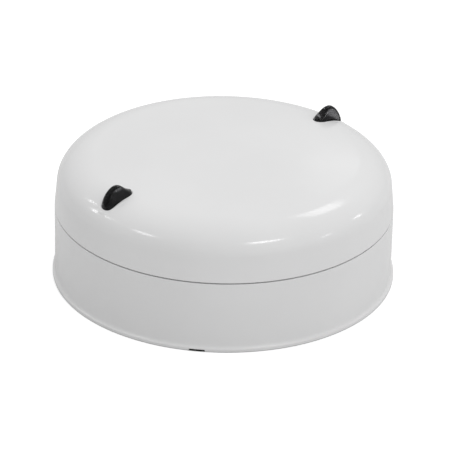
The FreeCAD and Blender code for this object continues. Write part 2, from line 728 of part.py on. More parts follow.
def main():
    """Build every piece and write it."""
    os.makedirs("parts", exist_ok=True)
    save("mounting_base", mounting_base())
    save("top_cover", top_cover())
    save("head_chassis", head_chassis())
    save("circuit_board", circuit_board())
    for name, angle in (("right", 0), ("left", 180)):
        save("light_pipe_" + name, turned(light_pipe(), angle))
        save("status_lamp_" + name, turned(status_lamp(), angle))
    spring, blade = contact_spring(), contact_blade()
    for number, angle in enumerate(terminal_angles, 1):
        save("contact_spring_" + str(number), at_terminal(spring, angle))
        save("contact_blade_" + str(number), at_terminal(blade, angle))
    clamp = terminal_clamp()
    save("terminal_clamps", Part.Compound([at_terminal(clamp, angle) for angle in terminal_angles]))
    driven = screw(terminal_screw_head, terminal_screw_rise, terminal_screw_shank, terminal_screw_length)
    driven = moved(driven, 0, 0, terminal_top)
    save("terminal_screws", Part.Compound([at_terminal(driven, angle) for angle in terminal_angles]))
    held = screw(cover_screw_head, cover_screw_rise, cover_screw_shank, cover_screw_length)
    held.rotate(Vector(0, 0, 0), Vector(1, 0, 0), 180)
    held = moved(held, boss_circle, 0, plate_height + cover_screw_rise)
    save("cover_screws", Part.Compound([turned(held, angle) for angle in boss_angles]))
    small = screw(board_screw_head, board_screw_rise, board_screw_shank, board_screw_length)
    small = moved(small, pillar_circle, 0, board_top)
    save("board_screws", Part.Compound([turned(small, angle + pillar_turn) for angle in pillar_angles]))
    place = polar(sensor_circle, sensor_angle)
    save("tamper_magnet", rod(magnet_radius, magnet_top - magnet_length, magnet_top, place.x, place.y))
    save("reed_switch", reed_switch())
    for name, side in (("tens", -1), ("units", 1)):
        save("address_switch_" + name, address_switch(side * switch_spread / 2))
        save("address_dial_" + name, address_dial(side * switch_spread / 2))
    save("radio_module", block(module_size, module_place[0], module_place[1], board_top))
    save("radio_chip", block(radio_chip_size, module_place[0], module_place[1], board_top + module_size[2]))
    save("radio_shield", radio_shield())
    save("antenna_left", antenna())
    save("antenna_right", antenna().mirror(Vector(0, 0, 0), Vector(1, 0, 0)))
    save("microcontroller", microcontroller())
    crystal = stadium(crystal_size[0], crystal_size[1] / 2, board_top, board_top + crystal_size[2],
                      crystal_place[0], crystal_place[1], 90)
    save("crystal", crystal)
    for number, place in enumerate(zip(capacitor_set_ins, capacitor_angles), 1):
        save("storage_capacitor_" + str(number), storage_capacitor(*place))
    save("power_inductor", power_inductor())
    for number, spot in enumerate(transistor_places, 1):
        save("isolator_transistor_" + str(number), isolator_transistor(*spot))


main()
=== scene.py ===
"""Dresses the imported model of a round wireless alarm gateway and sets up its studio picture."""

import json
import logging
import math
from dataclasses import dataclass, field
from enum import Enum

import bmesh
import bpy
import numpy as np
from mathutils import Matrix, Vector
from mathutils.geometry import delaunay_2d_cdt


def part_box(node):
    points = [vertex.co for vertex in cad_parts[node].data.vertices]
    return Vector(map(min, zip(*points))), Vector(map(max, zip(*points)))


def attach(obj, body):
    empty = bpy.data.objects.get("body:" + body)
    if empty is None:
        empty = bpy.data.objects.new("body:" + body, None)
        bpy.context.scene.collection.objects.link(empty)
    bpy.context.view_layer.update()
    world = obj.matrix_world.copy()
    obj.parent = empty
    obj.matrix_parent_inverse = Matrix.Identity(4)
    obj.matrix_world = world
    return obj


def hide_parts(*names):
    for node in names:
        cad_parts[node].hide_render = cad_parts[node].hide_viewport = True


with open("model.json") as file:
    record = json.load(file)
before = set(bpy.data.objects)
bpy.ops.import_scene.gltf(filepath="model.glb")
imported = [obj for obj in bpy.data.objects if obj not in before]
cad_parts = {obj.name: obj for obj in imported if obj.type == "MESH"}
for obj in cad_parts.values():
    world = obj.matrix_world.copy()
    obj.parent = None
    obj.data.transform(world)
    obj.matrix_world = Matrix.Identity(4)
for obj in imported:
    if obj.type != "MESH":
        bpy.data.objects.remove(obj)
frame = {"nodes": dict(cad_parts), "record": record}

# The pieces' classes hold their lengths in millimetres, and the finishes and the studio in metres.
MM = 0.001
AXIS = np.zeros(2)
LOG = logging.getLogger("gateway")


class Body(Enum):
    """The rigid bodies that the scene's own pieces ride on."""

    BASE = "base"
    HEAD = "head"


class Socket:
    """A shader value that takes Python's operators and adds the Math nodes they stand for."""

    def __init__(self, tree: "Tree", link: bpy.types.NodeSocket) -> None:
        """Keep the node tree and the output socket.

        Args:
            tree: the tree that new nodes go to.
            link: the output socket that carries the value.
        """
        self.tree = tree
        self.link = link

    def _math(self, operation: str, other: "Socket | float") -> "Socket":
        """Return the result of a Math node on this value and another.

        Args:
            operation: the Math node's operation.
            other: the second value.

        Returns:
            The node's output.
        """
        return self.tree.make("ShaderNodeMath", {"operation": operation}, {0: self, 1: other})

    def __add__(self, other: "Socket | float") -> "Socket":
        """Return the sum."""
        return self._math("ADD", other)

    __radd__ = __add__

    def __mul__(self, other: "Socket | float") -> "Socket":
        """Return the product."""
        return self._math("MULTIPLY", other)

    __rmul__ = __mul__

    def __pow__(self, other: "Socket | float") -> "Socket":
        """Return the power."""
        return self._math("POWER", other)

    def band(self, low: float, high: float) -> "Socket":
        """Return 0 under low, 1 over high and a smooth rise between.

        Args:
            low: where the rise starts.
            high: where it ends.

        Returns:
            The blended value.
        """
        return self.tree.make("ShaderNodeMapRange", {"interpolation_type": "SMOOTHSTEP"},
                              {"Value": self, "From Min": low, "From Max": high})


class Tree:
    """The node tree of a material or of the world, with one method that makes every node."""

    def __init__(self, holder: bpy.types.ID, shader: str = "Principled BSDF") -> None:
        """Turn the holder's nodes on and find its shader.

        Args:
            holder: the new material or world.
            shader: the name of its shader node.
        """
        holder.use_nodes = True
        self.holder = holder
        self.links = holder.node_tree.links
        self.nodes = holder.node_tree.nodes
        self.shader = self.nodes[shader]

    def put(self, target: bpy.types.NodeSocket, value: object) -> None:
        """Link a value into a socket, or set it there.

        Args:
            target: the input socket.
            value: a Socket, a number or a tuple.
        """
        if isinstance(value, Socket):
            self.links.new(value.link, target)
        else:
            target.default_value = value

    def make(self, kind: str, settings: dict, values: dict, output: int | str = 0) -> Socket:
        """Add a node: its settings first, then the values of its sockets.

        Args:
            kind: the node's type.
            settings: attributes of the node.
            values: input sockets by name or number, with their values or links.
            output: the output to return.

        Returns:
            The chosen output.
        """
        node = self.nodes.new(kind)
        for key, value in settings.items():
            setattr(node, key, value)
        for key, value in values.items():
            self.put(node.inputs[key], value)
        return Socket(self, node.outputs[output])

    def place(self) -> Socket:
        """Return the object coordinates."""
        return self.make("ShaderNodeTexCoord", {}, {}, "Object")

    def noise(self, scale: float, detail: float = 2.0) -> Socket:
        """Return a noise value between 0 and 1.

        Args:
            scale: features per metre.
            detail: octaves.

        Returns:
            The noise.
        """
        values = {"Vector": self.place(), "Scale": scale, "Detail": detail}
        return self.make("ShaderNodeTexNoise", {}, values)

    def blend(self, share: Socket, low: tuple, high: tuple) -> Socket:
        """Return a colour between two, by a share.

        Args:
            share: 0 for low, 1 for high.
            low: the first colour.
            high: the second colour.

        Returns:
            The mixed colour.
        """
        values = {"Factor": share, 6: (*low, 1.0), 7: (*high, 1.0)}
        return self.make("ShaderNodeMix", {"data_type": "RGBA"}, values, 2)

    def bump(self, height: Socket, depth: float) -> None:
        """Send a height into the shader's normal.

        Args:
            height: the height, 0 to 1.
            depth: what 1 stands for, in metres.
        """
        values = {"Strength": 1.0, "Distance": depth, "Height": height}
        self.set({"Normal": self.make("ShaderNodeBump", {}, values)})

    def set(self, values: dict) -> None:
        """Set or link inputs of the shader.

        Args:
            values: socket names with their values.
        """
        for key, value in values.items():
            self.put(self.shader.inputs[key], value)


@dataclass(frozen=True)
class MouldedPlastic:
    """Injection moulded plastic: a faint peel, slow tone changes and an uneven polish."""

    name: str
    tone: tuple[float, float, float]
    polish: float
    uneven: float = 0.05
    peel: float = 1.2e-6
    grain: float = 1400.0
    shade: float = 0.972

    def material(self) -> bpy.types.Material:
        """Make the finish.

        Returns:
            The material.
        """
        tree = Tree(bpy.data.materials.new(self.name))
        slow = tree.noise(28.0, 3.0)
        fine = tree.noise(240.0, 3.0)
        deep = tuple(self.shade * part for part in self.tone)
        tree.set({"Base Color": tree.blend(slow.band(0.3, 0.7), deep, self.tone),
                  "Roughness": fine * self.uneven + (self.polish - self.uneven / 2)})
        tree.bump(tree.noise(self.grain, 3.0) * 0.6 + tree.noise(150.0, 1.0) * 0.4, self.peel)
        return tree.holder


@dataclass(frozen=True)
class SmokedClear:
    """Clear plastic or glass with a strong tint and faint clouds, and a polished skin."""

    name: str
    tone: tuple[float, float, float]
    cloud_tone: tuple[float, float, float]
    index: float = 1.27
    polish: float = 0.03
    uneven: float = 0.04

    def material(self) -> bpy.types.Material:
        """Make the finish.

        Returns:
            The material.
        """
        tree = Tree(bpy.data.materials.new(self.name))
        cloud = tree.noise(420.0, 3.0).band(0.35, 0.75)
        tree.set({"Base Color": tree.blend(cloud, self.tone, self.cloud_tone), "IOR": self.index,
                  "Roughness": tree.noise(900.0) * self.uneven + self.polish, "Transmission Weight": 1.0})
        tree.bump(tree.noise(700.0), 1.5e-6)
        return tree.holder


@dataclass(frozen=True)
class SheetMetal:
    """Plated or bare metal with rolling marks and a few duller patches."""

    name: str
    tone: tuple[float, float, float]
    polish: float
    stretch: tuple[float, float, float] = (1.0, 1.0, 12.0)
    shade: float = 0.72

    def material(self) -> bpy.types.Material:
        """Make the finish.

        Returns:
            The material.
        """
        tree = Tree(bpy.data.materials.new(self.name))
        drawn = tree.make("ShaderNodeMapping", {}, {"Vector": tree.place(), "Scale": self.stretch})
        marks = tree.make("ShaderNodeTexNoise", {}, {"Vector": drawn, "Scale": 900.0, "Detail": 4.0})
        patches = tree.noise(320.0, 3.0).band(0.45, 0.8)
        dull = tuple(self.shade * part for part in self.tone)
        tree.set({"Base Color": tree.blend(patches, self.tone, dull), "Metallic": 1.0,
                  "Roughness": marks * 0.18 + patches * 0.12 + (self.polish - 0.09)})
        tree.bump(marks, 2.0e-6)
        return tree.holder


@dataclass(frozen=True)
class BoardLacquer:
    """Green lacquer over a glass laminate, with copper runs that show through it.

    The pitch is in millimetres, and the runs' length, spacing and width are in pitches.
    """

    name: str
    tone: tuple[float, float, float]
    copper: tuple[float, float, float]
    pitch: float = 2.2
    run_length: float = 9.0
    run_spacing: float = 0.55
    run_width: float = 0.09
    stagger: float = 0.37

    def material(self) -> bpy.types.Material:
        """Make the finish.

        Returns:
            The material.
        """
        tree = Tree(bpy.data.materials.new(self.name))
        size = {"Vector": tree.place(), "Scale": 1.0 / MM, "Brick Width": self.pitch * self.run_length,
                "Row Height": self.pitch * self.run_spacing, "Mortar Size": self.pitch * self.run_width,
                "Bias": 0.0}
        runs = tree.make("ShaderNodeTexBrick", {"offset": self.stagger}, size, "Fac")
        weave = tree.make("ShaderNodeTexWave", {"bands_direction": "DIAGONAL"},
                          {"Vector": tree.place(), "Scale": 900.0, "Distortion": 1.0})
        tree.set({"Base Color": tree.blend(runs, self.tone, self.copper),
                  "Roughness": tree.noise(600.0) * 0.12 + 0.24, "Coat Weight": 0.4})
        tree.bump(runs * 0.8 + weave * 0.2, 0.8e-5)
        return tree.holder


@dataclass(frozen=True)
class MouldingCompound:
    """Matt filled resin, as on chips, ferrite cores and switch bodies."""

    name: str
    tone: tuple[float, float, float]
    polish: float = 0.55

    def material(self) -> bpy.types.Material:
        """Make the finish.

        Returns:
            The material.
        """
        tree = Tree(bpy.data.materials.new(self.name))
        specks = tree.make("ShaderNodeTexVoronoi", {}, {"Vector": tree.place(), "Scale": 5200.0})
        light = tuple(min(1.0, 1.9 * part + 0.01) for part in self.tone)
        tree.set({"Base Color": tree.blend(specks.band(0.35, 0.75), self.tone, light),
                  "Roughness": tree.noise(1500.0) * 0.16 + (self.polish - 0.08)})
        tree.bump(tree.noise(4200.0, 3.0), 6.0e-6)
        return tree.holder


class Shell:
    """Collects surfaces worked out with numpy and makes one closed mesh piece of them."""

    merge_distance = 0.002 * MM
    shortest_edge = 0.0005 * MM

    def __init__(self) -> None:
        """Start with no surface."""
        self.points: list[np.ndarray] = []
        self.faces: list[tuple[int, ...]] = []
        self.count = 0

    def add(self, points: np.ndarray, faces: np.ndarray) -> None:
        """Add points in millimetres and the faces between them.

        Args:
            points: rows of x, y and z.
            faces: rows of point numbers, counted from this call's first point.
        """
        self.points.append(points)
        self.faces += [tuple(row) for row in (faces + self.count).tolist()]
        self.count += len(points)

    def grid(self, points: np.ndarray, wrap: bool = False) -> None:
        """Add a grid of points as quads.

        Args:
            points: an array of rows by columns by 3.
            wrap: whether the last column joins the first.
        """
        rows, columns = points.shape[:2]
        number = np.arange(rows * columns).reshape(rows, columns)
        if wrap:
            number = np.concatenate([number, number[:, :1]], axis=1)
        quads = np.stack([number[:-1, :-1], number[:-1, 1:], number[1:, 1:], number[1:, :-1]], axis=-1)
        self.add(points.reshape(-1, 3), quads.reshape(-1, 4))

    def fan(self, ring: np.ndarray) -> None:
        """Close a ring with triangles to its middle point.

        Args:
            ring: the ring's points, rows of x, y and z.
        """
        after = np.roll(np.arange(len(ring)), -1)
        triangles = np.stack([np.arange(len(ring)), after, np.full(len(ring), len(ring))], axis=-1)
        self.add(np.concatenate([ring, ring.mean(axis=0, keepdims=True)]), triangles)

    def lathe(self, line: np.ndarray, angles: np.ndarray, centre: np.ndarray = AXIS) -> None:
        """Turn a line about an upright axis: each point at radius r and height z makes a ring.

        Args:
            line: rows of radius and height.
            angles: the angles of the columns, in radians, for a full turn.
            centre: the axis's x and y.
        """
        self.grid(ring_points(line, angles, centre), wrap=True)
        for end in (line[0], line[-1]):
            if end[0] > 0 and not np.allclose(line[0], line[-1]):
                self.fan(ring_points(end[None], angles, centre)[0])

    def prism(self, loop: np.ndarray, low: float, high: float, bevel: float) -> None:
        """Add an upright prism whose top edge is rounded: the loop is drawn in by the bevel as it rises.

        Args:
            loop: the outline, rows of x and y, anticlockwise.
            low: the bottom's height.
            high: the top's height.
            bevel: the top edge's radius.
        """
        turn = np.linspace(0, math.pi / 2, 4)
        inset = np.concatenate([[0.0], bevel * (1 - np.cos(turn))])
        level = np.concatenate([[low], high - bevel + bevel * np.sin(turn)])
        rings = np.stack([np.column_stack([draw_in(loop, step), np.full(len(loop), height)])
                          for step, height in zip(inset, level)])
        self.grid(rings, wrap=True)
        self.fan(rings[0])
        self.fan(rings[-1])

    def piece(self, name: str, finish: bpy.types.Material, body: Body, nodes: tuple[str, ...],
              crease: float = 40.0) -> bpy.types.Object:
        """Make the mesh, close its seams, turn its faces outwards and set it in the frame.

        Args:
            name: the piece's name.
            finish: its material.
            body: the body it rides on.
            nodes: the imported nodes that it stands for.
            crease: edges sharper than this, in degrees, stay sharp.

        Returns:
            The new object.
        """
        mesh = bpy.data.meshes.new(name)
        mesh.from_pydata((np.concatenate(self.points) * MM).tolist(), [], self.faces)
        work = bmesh.new()
        work.from_mesh(mesh)
        bmesh.ops.remove_doubles(work, verts=work.verts, dist=self.merge_distance)
        bmesh.ops.dissolve_degenerate(work, edges=work.edges, dist=self.shortest_edge)
        bmesh.ops.recalc_face_normals(work, faces=work.faces)
        work.to_mesh(mesh)
        work.free()
        mesh.shade_smooth()
        mesh.set_sharp_from_angle(angle=math.radians(crease))
        mesh.materials.append(finish)
        made = bpy.data.objects.new(name, mesh)
        bpy.context.scene.collection.objects.link(made)
        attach(made, body.value)
        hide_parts(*nodes)
        LOG.info("%s: %d faces on %s", name, len(mesh.polygons), body.value)
        return made


def ring_points(line: np.ndarray, angles: np.ndarray, centre: np.ndarray = AXIS) -> np.ndarray:
    """Return a grid of points: x is r cos a, y is r sin a, z is the line's height.

    Args:
        line: rows of radius and height.
        angles: the columns' angles in radians.
        centre: the axis's x and y.

    Returns:
        An array of rows by columns by 3.
    """
    radius, height = line[:, :1], line[:, 1:]
    return np.stack([centre[0] + radius * np.cos(angles), centre[1] + radius * np.sin(angles),
                     height + 0 * angles], axis=-1)


def full_turn(count: int) -> np.ndarray:
    """Return evenly spread angles of a full turn, in radians."""
    return np.arange(count) * (2 * math.pi / count)


def polar(radius: np.ndarray | float, angle: np.ndarray | float) -> np.ndarray:
    """Return x and y of a radius and an angle: r cos a and r sin a."""
    return np.stack([radius * np.cos(angle), radius * np.sin(angle)], axis=-1)


def turned(points: np.ndarray, angle: float) -> np.ndarray:
    """Return rows of x and y turned about the origin by an angle in radians."""
    return points @ np.array([[math.cos(angle), math.sin(angle)], [-math.sin(angle), math.cos(angle)]])


def draw_in(loop: np.ndarray, distance: float, sharpest: float = 0.2) -> np.ndarray:
    """Return an outline drawn in along its corners' mean normals by a distance.

    Args:
        loop: rows of x and y, anticlockwise.
        distance: how far each side moves in.
        sharpest: the least cosine that a corner's move is divided by.

    Returns:
        The smaller outline.
    """
    ahead = np.roll(loop, -1, axis=0) - loop
    ahead /= np.linalg.norm(ahead, axis=1, keepdims=True)
    inward = np.stack([-ahead[:, 1], ahead[:, 0]], axis=-1)
    mean = inward + np.roll(inward, 1, axis=0)
    mean /= np.maximum((mean * inward).sum(axis=1, keepdims=True), sharpest)
    return loop + distance * mean


def soften(corners: list[tuple[float, float, float]], steps: int = 4, hold: float = 0.35) -> np.ndarray:
    """Return an open line whose corners are rounded arcs with a held point on each side.

    Each corner has its own radius. An arc starts and ends where it touches the two runs, and
    the held points a little outside it keep the flat runs flat when they are shaded.

    Args:
        corners: radius, height and corner radius of each point; the two ends stay sharp.
        steps: the arc's divisions.
        hold: the held point's distance from the arc, in corner radii.

    Returns:
        Rows of radius and height.
    """
    spots = np.array(corners)
    line = [spots[0, :2]]
    for before, corner, after in zip(spots, spots[1:], spots[2:]):
        into = corner[:2] - before[:2]
        out = after[:2] - corner[:2]
        into, out = into / np.linalg.norm(into), out / np.linalg.norm(out)
        turn = math.acos(float(np.clip(into @ out, -1, 1)))
        if corner[2] == 0 or turn < 1e-4:
            line.append(corner[:2])
            continue
        reach = corner[2] * math.tan(turn / 2)
        first = corner[:2] - into * reach
        inside = out - into * (into @ out)
        centre = first + corner[2] * inside / np.linalg.norm(inside)
        arc = np.linspace(0, turn, steps + 1)[:, None]
        spoke = first - centre
        line.append(first - into * corner[2] * hold)
        line.extend(centre + spoke * np.cos(arc) + into * corner[2] * np.sin(arc))
        line.append(corner[:2] + out * (reach + corner[2] * hold))
    line.append(spots[-1, :2])
    return np.array(line)


def smooth_line(place: np.ndarray, knots: np.ndarray, values: np.ndarray) -> np.ndarray:
    """Return a cubic Hermite line through knots, with each slope the mean of its neighbours' chords.

    Args:
        place: where the line is wanted.
        knots: the known places, rising.
        values: the known values.

    Returns:
        The line's values.
    """
    slope = np.gradient(values, knots)
    span = np.clip(np.searchsorted(knots, place) - 1, 0, len(knots) - 2)
    width = knots[span + 1] - knots[span]
    share = (place - knots[span]) / width
    rise = share * share * (3 - 2 * share)
    bend = share * (1 - share) ** 2 * slope[span] - share * share * (1 - share) * slope[span + 1]
    return values[span] * (1 - rise) + values[span + 1] * rise + width * bend


@dataclass
class DomeLine:
    """The cover's line at an inset from its outside: drafted rim, elliptical shoulder, crown."""

    inset: float = 0.0
    body_radius: float = 55.0
    edge_height: float = 24.05
    rim_height: float = 8.5
    draft: float = math.tan(math.radians(5.5))
    shoulder_depth: float = 13.5
    shoulder_height: float = 9.3
    crown_angle: float = math.radians(3.7)
    shoulder_steps: int = 18
    rim_steps: int = 8

    def __post_init__(self) -> None:
        """Work out the ellipse's centre and where it leaves the rim and meets the crown."""
        lean = math.atan(self.draft * self.shoulder_height / self.shoulder_depth)
        self.centre_radius = (self.body_radius - self.rim_height * self.draft
                              - self.shoulder_depth * math.cos(lean))
        self.centre_height = self.edge_height + self.rim_height - self.shoulder_height * math.sin(lean)
        self.depth = self.shoulder_depth - self.inset
        self.height = self.shoulder_height - self.inset
        self.start = math.atan(self.draft * self.height / self.depth)
        self.end = math.atan2(self.height, self.depth * math.tan(self.crown_angle))
        self.top_radius = self.centre_radius + self.depth * math.cos(self.end)
        self.crown_radius = self.top_radius / math.sin(self.crown_angle)
        self.top = (self.centre_height + self.height * math.sin(self.end)
                    + self.top_radius * math.tan(self.crown_angle / 2))

    def surface(self, radius: np.ndarray) -> np.ndarray:
        """Return the height over a radius: an arc on the crown, an ellipse on the shoulder.

        Args:
            radius: distances from the axis, up to the shoulder's widest.

        Returns:
            The heights.
        """
        crown = self.top - self.crown_radius + np.sqrt(self.crown_radius ** 2 - radius ** 2)
        share = np.clip((radius - self.centre_radius) / self.depth, 0, 1)
        shoulder = self.centre_height + self.height * np.sqrt(1 - share ** 2)
        return np.where(radius < self.top_radius, crown, shoulder)

    def rim(self, from_radius: float) -> np.ndarray:
        """Return the line from a radius on the shoulder down to the rim's edge.

        Args:
            from_radius: where it starts.

        Returns:
            Rows of radius and height.
        """
        first = math.acos((from_radius - self.centre_radius) / self.depth)
        turn = np.linspace(first, self.start, self.shoulder_steps)
        shoulder = np.column_stack([self.centre_radius + self.depth * np.cos(turn),
                                    self.centre_height + self.height * np.sin(turn)])
        height = np.linspace(shoulder[-1, 1], self.edge_height, self.rim_steps)[1:]
        radius = shoulder[-1, 0] + (shoulder[-1, 1] - height) * self.draft
        return np.concatenate([shoulder, np.column_stack([radius, height])])


@dataclass
class PipePlan:
    """The light pipe's rounded plan outline and where it stands on the cover."""

    middle: float = 44.911
    inner_length: float = 5.15
    outer_length: float = 5.55
    half_width: float = 2.4
    inner_power: float = 3.2
    outer_power: float = 8.0

    def side(self, along: np.ndarray) -> tuple[np.ndarray, np.ndarray]:
        """Return the length and the power at distances along, inner or outer by their sign.

        Args:
            along: distances outwards from the outline's middle.

        Returns:
            The lengths and the powers.
        """
        outer = along > 0
        return (np.where(outer, self.outer_length, self.inner_length),
                np.where(outer, self.outer_power, self.inner_power))

    def half(self, radius: np.ndarray) -> np.ndarray:
        """Return the half width at a radius: the square root of one less the share's power.

        Args:
            radius: distances from the axis.

        Returns:
            Half widths in millimetres.
        """
        along = radius - self.middle
        length, power = self.side(along)
        return self.half_width * np.sqrt(1 - np.clip(np.abs(along) / length, 0, 1) ** power)

    def reach(self, direction: np.ndarray, grow: float) -> np.ndarray:
        """Return how far the outline, grown all round, lies from its middle in a direction.

        It halves the interval until the point meets the outline's own equation, the sum of the
        lengthwise share to its power and the crosswise share squared being one.

        Args:
            direction: angles in radians.
            grow: how much the outline is grown.

        Returns:
            Distances in millimetres.
        """
        low, high = np.zeros_like(direction), np.full_like(direction, self.outer_length * 2)
        length, power = self.side(np.cos(direction))
        along = np.abs(np.cos(direction)) / (length + grow)
        across = np.abs(np.sin(direction)) / (self.half_width + grow)
        for _ in range(40):
            middle = (low + high) / 2
            inside = (along * middle) ** power + (across * middle) ** 2 < 1
            low, high = np.where(inside, middle, low), np.where(inside, high, middle)
        return (low + high) / 2


@dataclass
class CoverShell:
    """The domed cover: one closed wall with a rounded rim, two lipped windows and its bosses."""

    finish: bpy.types.Material
    wall: float = 2.0
    columns: int = 384
    window_columns: int = 7
    window_from: float = 36.5
    window_to: float = 52.0
    window_rings: int = 18
    crown_start: tuple[float, float, float] = (0.0, 1.0, 4.0)
    crown_rings: int = 14
    skin_rings: int = 15
    inner_rings: int = 8
    ring_spread: float = 1.6
    wall_drop: float = 1.4
    fit: float = 0.12
    edge_round: float = 0.22
    lip_height: float = 0.16
    lip_place: float = 0.85
    lip_width: float = 0.42
    lip_fade: tuple[float, float, float] = (0.5, 1.1, 1.5)
    collar_wall: float = 1.2
    collar_depth: float = 4.0
    collar_columns: int = 64
    boss_radius: float = 4.0
    boss_hole: float = 1.5
    boss_circle: float = 40.0
    boss_foot: float = 25.0
    boss_hole_depth: float = 12.0
    boss_sink: float = 0.6
    boss_columns: int = 48
    boss_angles: tuple[float, ...] = (90.0, 210.0, 330.0)
    outer: DomeLine = field(default_factory=DomeLine)
    plan: PipePlan = field(default_factory=PipePlan)

    def __post_init__(self) -> None:
        """Draw the inner line from the outer one."""
        self.inner = DomeLine(inset=self.wall)

    def radii(self) -> np.ndarray:
        """Return the radii of the rings that cross the windows."""
        return np.linspace(self.window_from, self.window_to, self.window_rings + 1)

    def build(self) -> bpy.types.Object:
        """Make the cover.

        Returns:
            The cover's object.
        """
        shell = Shell()
        angles = full_turn(self.columns)
        across = self.radii()
        *middle, first = self.crown_start
        crown = np.concatenate([middle, np.linspace(first, self.window_from, self.crown_rings)])
        side_columns = self.columns // 2 - 2 * self.window_columns + 1
        for line in (self.outer, self.inner):
            shell.grid(ring_points(np.column_stack([crown, line.surface(crown)]), angles), wrap=True)
            for first in (self.window_columns, self.columns // 2 + self.window_columns):
                columns = angles[first:first + side_columns]
                shell.grid(ring_points(np.column_stack([across, line.surface(across)]), columns))
        shell.grid(ring_points(self.rim_line(), angles), wrap=True)
        for turn in (0.0, math.pi):
            self.add_window(shell, turn)
            self.add_collar(shell, turn)
        for angle in self.boss_angles:
            self.add_boss(shell, math.radians(angle))
        return shell.piece("cover_shell", self.finish, Body.HEAD, ("top_cover",))

    def rim_line(self) -> np.ndarray:
        """Return the line down the outside, round the rim's edge and up the inside.

        Returns:
            Rows of radius and height.
        """
        down, up = self.outer.rim(self.window_to), self.inner.rim(self.window_to)[::-1]
        edge = soften([(*down[-2], 0.0), (*down[-1], self.edge_round), (*up[0], self.edge_round),
                       (*up[1], 0.0)])
        return np.concatenate([down[:-1], edge[1:-1], up[1:]])

    def add_window(self, shell: Shell, turn: float) -> None:
        """Add the skin round one window: rings from the sector's edge to the wall and back inside.

        A ring lies between the window's outline and the sector's edge, in the same directions
        from the pipe's middle, and its height is the dome's over its own radius. The lip is a
        bell of height over the distance from the outline. It is full at the outer end, and fades
        with the cosine of the direction.

        Args:
            shell: the cover's surfaces.
            turn: the window's angle about the axis.
        """
        step = 2 * math.pi / self.columns
        side = np.arange(-self.window_columns, self.window_columns + 1) * step
        across = self.radii()
        edge = np.concatenate([
            np.column_stack([np.full(len(side) - 1, across[0]), side[:-1]]),
            np.column_stack([across[:-1], np.full(len(across) - 1, side[-1])]),
            np.column_stack([np.full(len(side) - 1, across[-1]), side[:0:-1]]),
            np.column_stack([across[:0:-1], np.full(len(across) - 1, side[0])])])
        flat = polar(edge[:, 0], edge[:, 1])
        offset = flat - [self.plan.middle, 0.0]
        direction = np.arctan2(offset[:, 1], offset[:, 0])
        far = np.hypot(offset[:, 0], offset[:, 1])
        near = self.plan.reach(direction, self.fit)
        start = self.plan.reach(direction, self.fit + self.edge_round)
        at_side, gain, power = self.lip_fade
        lip = self.lip_height * np.clip(at_side + gain * np.cos(direction), 0, 1) ** power
        rings = []
        for share in np.linspace(1, 0, self.skin_rings) ** self.ring_spread:
            away = start + (far - start) * share
            bell = np.exp(-((away - near - self.lip_place) / self.lip_width) ** 2)
            rings.append(self.ring(away, direction, self.outer, lip * bell))
        for bend in np.linspace(0, math.pi / 2, 5)[1:]:
            away = near + (start - near) * (1 - math.sin(bend))
            rings.append(self.ring(away, direction, self.outer, -self.edge_round * (1 - math.cos(bend))))
        rings.append(self.ring(near, direction, self.outer, -self.edge_round * self.wall_drop))
        for share in np.linspace(0, 1, self.inner_rings) ** self.ring_spread:
            rings.append(self.ring(near + (far - near) * share, direction, self.inner, 0.0))
        rings[0][:, :2] = flat
        rings[-1][:, :2] = flat
        points = np.stack(rings)
        points[..., :2] = turned(points[..., :2], turn)
        shell.grid(points, wrap=True)

    def ring(self, away: np.ndarray, direction: np.ndarray, line: DomeLine,
             lift: np.ndarray | float) -> np.ndarray:
        """Return points at distances from the pipe's middle, on a dome line plus a lift.

        Args:
            away: the distances.
            direction: the angles.
            line: the dome line.
            lift: heights over the line.

        Returns:
            Rows of x, y and z.
        """
        x = self.plan.middle + away * np.cos(direction)
        y = away * np.sin(direction)
        return np.column_stack([x, y, line.surface(np.hypot(x, y)) + lift])

    def add_collar(self, shell: Shell, turn: float) -> None:
        """Add the guide collar that hangs from the cover round one light pipe.

        Args:
            shell: the cover's surfaces.
            turn: the window's angle about the axis.
        """
        direction = full_turn(self.collar_columns)
        inside = self.plan.reach(direction, self.fit)
        outside = self.plan.reach(direction, self.fit + self.collar_wall)
        low = float(self.outer.surface(np.array(self.plan.middle))) - self.collar_depth
        middle = DomeLine(inset=self.wall / 2)
        loops = []
        for away, on_skin in ((inside, True), (inside, False), (outside, False), (outside, True)):
            points = self.ring(away, direction, middle, 0.0)
            points[:, 2] = np.maximum(points[:, 2], low) if on_skin else np.minimum(points[:, 2], low)
            loops.append(points)
        points = np.stack(loops + [loops[0]])
        points[..., :2] = turned(points[..., :2], turn)
        shell.grid(points, wrap=True)

    def add_boss(self, shell: Shell, angle: float) -> None:
        """Add one screw boss: a tube from its foot into the wall.

        Args:
            shell: the cover's surfaces.
            angle: its angle about the axis.
        """
        top = float(self.inner.surface(np.array(self.boss_circle + self.boss_radius))) + self.boss_sink
        hole_end = self.boss_foot + self.boss_hole_depth
        line = soften([(0.0, hole_end, 0.0), (self.boss_hole, hole_end, 0.1),
                       (self.boss_hole, self.boss_foot, 0.2), (self.boss_radius, self.boss_foot, 0.2),
                       (self.boss_radius, top, 0.1), (0.0, top, 0.0)])
        shell.lathe(line, full_turn(self.boss_columns), polar(self.boss_circle, angle))


